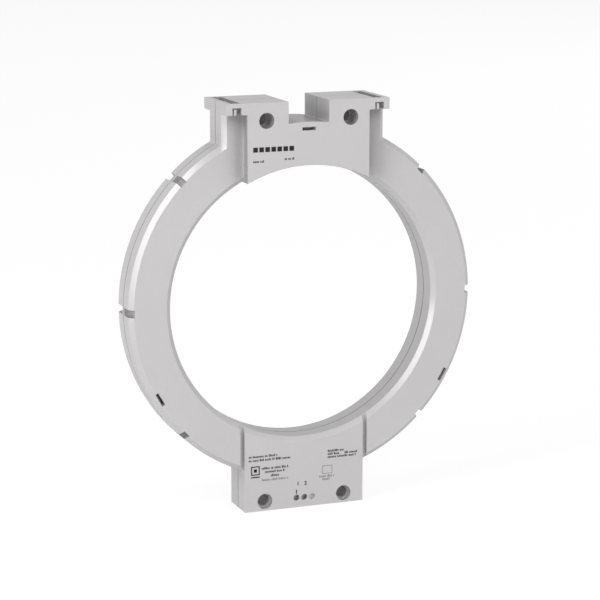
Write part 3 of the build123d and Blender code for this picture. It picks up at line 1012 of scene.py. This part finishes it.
class TRANSFORMER_OT_fit_terminals(Operator):
    """Fit the terminal block with its cages, screws, tags, leads and sleeves"""

    bl_idname = "transformer.fit_terminals"
    bl_label = "Fit Terminals"

    def execute(self, context):
        settings = context.scene.transformer_terminals
        block = moulding_material("Terminal block moulding", settings.block, 0.4, 0.4 * MM, 0.01 * MM)
        zinc = plated_material("Zinc plate", settings.zinc, 0.38, 0.9 * MM)
        steel = plated_material("Screw steel", settings.steel, 0.3, 0.4 * MM)
        tin = plated_material("Tinned tag", settings.tin, 0.28, 0.6 * MM)
        lead = moulding_material("Lead insulation", settings.lead, 0.42, 0.3 * MM, 0.006 * MM)
        sleeve = moulding_material("Shrunk sleeve", settings.sleeve, 0.5, 0.5 * MM, 0.03 * MM)
        rounded_piece(
            "terminal_block", "terminal_body", settings.edge_round, block, "housing"
        )
        for number in (1, 2):
            rounded_piece(
                f"rising_cage_{number}",
                f"clamp_cage_{number}",
                settings.edge_round,
                zinc,
                f"cage_{number}",
            )
            clamping_screw(
                f"clamping_screw_{number}",
                f"terminal_screw_{number}",
                settings.pitch,
                steel,
                f"screw_{number}",
            )
            dress_nodes(tin, f"terminal_tag_{number}")
            dress_nodes(lead, f"lead_{number}")
            dress_nodes(sleeve, f"lead_sleeve_{number}")
        return {"FINISHED"}


class TRANSFORMER_OT_print_marks(Operator):
    """Print the plain marks on the pad and on the base"""

    bl_idname = "transformer.print_marks"
    bl_label = "Print Marks"

    def execute(self, context):
        settings = context.scene.transformer_print
        generator = random.Random(PRINT_SEED)
        dark = bmesh.new()
        self.add_pad_blocks(dark)
        add_small_print(dark, PAD_LINES, PAD_FACE, settings.small_height, generator)
        add_small_print(dark, BASE_LINES, RING_FACE, settings.small_height, generator)
        self.add_square_mark(dark)
        self.add_wedge(dark)
        for digit, middle in DIGITS:
            add_digit(dark, digit, middle, settings.digit_height, RING_FACE)
        faint = bmesh.new()
        add_small_print(faint, FAINT_LINES, RING_FACE, settings.small_height, generator)
        add_frame(faint, RECTANGLE_MIDDLE, *RECTANGLE_HALF, RECTANGLE_LINE, RING_FACE)
        for name, marks, values in (
            ("dark_print", dark, settings.ink),
            ("faint_print", faint, settings.faint_ink),
        ):
            bmesh.ops.remove_doubles(marks, verts=marks.verts, dist=SAME_POINT)
            extrude_all(marks, (0.0, -settings.thickness, 0.0))
            finished_piece(name, marks, ink_material(name.replace("_", " "), values), "housing")
        return {"FINISHED"}

    def add_pad_blocks(self, bm):
        """A row of equal plain blocks at the top of the pad."""
        for number in range(PAD_BLOCKS):
            left = (PAD_BLOCK_LEFT + PAD_BLOCK_PITCH * number) * MM
            right = left + PAD_BLOCK_WIDTH * MM
            add_bar(bm, left, right, PAD_BLOCK_BOTTOM * MM, PAD_BLOCK_TOP * MM, PAD_FACE)

    def add_square_mark(self, bm):
        """A plain square in a square outline, with a bar under it."""
        add_frame(bm, SQUARE_MIDDLE, SQUARE_HALF, SQUARE_HALF, SQUARE_LINE, RING_FACE)
        core = [(middle + side * SQUARE_CORE_HALF) * MM for middle in SQUARE_MIDDLE for side in (-1, 1)]
        add_bar(bm, *core, RING_FACE)
        add_bar(bm, *[edge * MM for edge in SQUARE_BAR], RING_FACE)

    def add_wedge(self, bm):
        """A narrow wedge over the first terminal, which points down at it."""
        sides = [(WEDGE_MIDDLE + side * WEDGE_HALF) * MM for side in (-1, 1)]
        verts = add_bar(bm, *sides, WEDGE_POINT * MM, WEDGE_TOP * MM, RING_FACE)
        point = [vert for vert in verts if abs(vert.co.z - WEDGE_POINT * MM) < SAME_LEVEL]
        about = Matrix.Translation((-WEDGE_MIDDLE * MM, 0.0, 0.0))
        bmesh.ops.scale(bm, vec=(WEDGE_POINT_SHARE, 1.0, 1.0), space=about, verts=point)


class TRANSFORMER_OT_set_stage(Operator):
    """Set up the floor, the room light, the lamps and the camera"""

    bl_idname = "transformer.set_stage"
    bl_label = "Set Stage"

    def execute(self, context):
        scene = context.scene
        settings = scene.transformer_studio
        scene.view_settings.view_transform = "Standard"
        self.lay_floor(scene, settings)
        self.light_room(scene, settings)
        self.hang_lamps(scene, settings)
        self.place_camera(scene, settings)
        return {"FINISHED"}

    def lay_floor(self, scene, settings):
        """A wide pale floor under the base, which shows nearly white and keeps a soft shadow."""
        bm = bmesh.new()
        bmesh.ops.create_circle(bm, cap_ends=True, segments=FLOOR_SIDES, radius=FLOOR_RADIUS)
        bmesh.ops.translate(bm, verts=bm.verts, vec=(0.0, 0.0, FLOOR_LEVEL))
        mesh = bpy.data.meshes.new("floor")
        bm.to_mesh(mesh)
        bm.free()
        floor = bpy.data.objects.new("floor", mesh)
        scene.collection.objects.link(floor)
        material, nodes, links, shader = new_material("Pale floor")
        shader.inputs["Base Color"].default_value = FLOOR_COLOUR
        shader.inputs["Roughness"].default_value = 1.0
        shader.inputs["Specular IOR Level"].default_value = 0.0
        light_path = nodes.new("ShaderNodeLightPath")
        glow = nodes.new("ShaderNodeEmission")
        glow.inputs["Strength"].default_value = settings.floor_glow
        seen = light_path.outputs["Is Camera Ray"]
        mix = nodes.new("ShaderNodeMixShader")
        links.new(math_node(nodes, links, "MULTIPLY", seen, FLOOR_GLOW_SHARE), mix.inputs["Fac"])
        links.new(shader.outputs["BSDF"], mix.inputs[1])
        links.new(glow.outputs["Emission"], mix.inputs[2])
        links.new(mix.outputs["Shader"], nodes["Material Output"].inputs["Surface"])
        mesh.materials.append(material)

    def light_room(self, scene, settings):
        """Even light from all round, which the camera sees as white."""
        world = bpy.data.worlds.new("Room")
        scene.world = world
        world.use_nodes = True
        nodes = world.node_tree.nodes
        links = world.node_tree.links
        background = nodes["Background"]
        background.inputs["Color"].default_value = (1.0, 1.0, 1.0, 1.0)
        light_path = nodes.new("ShaderNodeLightPath")
        seen = light_path.outputs["Is Camera Ray"]
        strength = range_node(nodes, links, seen, 0.0, 1.0, settings.room_light, 1.0)
        links.new(strength, background.inputs["Strength"])

    def hang_lamps(self, scene, settings):
        """A tall soft box on the left, and broad soft lamps in front and behind."""
        for name, place, width, height, power_name in LAMPS:
            data = bpy.data.lights.new(name, "AREA")
            data.shape = "RECTANGLE"
            data.size = width
            data.size_y = height
            data.energy = getattr(settings, power_name)
            lamp = bpy.data.objects.new(name, data)
            scene.collection.objects.link(lamp)
            lamp.location = place
            lamp.rotation_euler = (-Vector(place)).to_track_quat("-Z", "Y").to_euler()

    def place_camera(self, scene, settings):
        """The camera at the photograph's viewing angle."""
        data = bpy.data.cameras.new("Camera")
        data.lens = settings.camera_lens
        data.sensor_width = FILM_WIDTH
        camera = bpy.data.objects.new("Camera", data)
        scene.collection.objects.link(camera)
        camera.location = settings.camera_place
        camera.rotation_euler = (math.radians(90.0) + settings.camera_pitch, 0.0, settings.camera_yaw)
        scene.camera = camera


class TRANSFORMER_PT_sidebar(Panel):
    """Sizes, colours and steps of the transformer"""

    bl_label = "Transformer"
    bl_idname = "TRANSFORMER_PT_sidebar"
    bl_space_type = "VIEW_3D"
    bl_region_type = "UI"
    bl_category = "Transformer"

    def draw(self, context):
        for heading, name, _ in SETTINGS:
            box = self.layout.box()
            box.label(text=heading)
            group = getattr(context.scene, name)
            for value in group.bl_rna.properties:
                if value.identifier not in ("rna_type", "name"):
                    box.prop(group, value.identifier)
        for operator in OPERATORS:
            self.layout.operator(operator.bl_idname)


SETTINGS = (
    ("Shells", "transformer_shells", ShellFinish),
    ("Coil", "transformer_coil", CoilFinish),
    ("Terminals", "transformer_terminals", TerminalFinish),
    ("Print", "transformer_print", PrintFinish),
    ("Studio", "transformer_studio", StudioSetup),
)
OPERATORS = (
    TRANSFORMER_OT_mould_shells,
    TRANSFORMER_OT_wind_coil,
    TRANSFORMER_OT_fit_terminals,
    TRANSFORMER_OT_print_marks,
    TRANSFORMER_OT_set_stage,
)


def register():
    for _, name, group in SETTINGS:
        bpy.utils.register_class(group)
        setattr(bpy.types.Scene, name, PointerProperty(type=group))
    for made in (*OPERATORS, TRANSFORMER_PT_sidebar):
        bpy.utils.register_class(made)


def unregister():
    for made in (TRANSFORMER_PT_sidebar, *reversed(OPERATORS)):
        bpy.utils.unregister_class(made)
    for _, name, group in reversed(SETTINGS):
        delattr(bpy.types.Scene, name)
        bpy.utils.unregister_class(group)


def main():
    register()
    bpy.ops.transformer.mould_shells()
    bpy.ops.transformer.wind_coil()
    bpy.ops.transformer.fit_terminals()
    bpy.ops.transformer.print_marks()
    bpy.ops.transformer.set_stage()


if __name__ == "__main__":
    main()
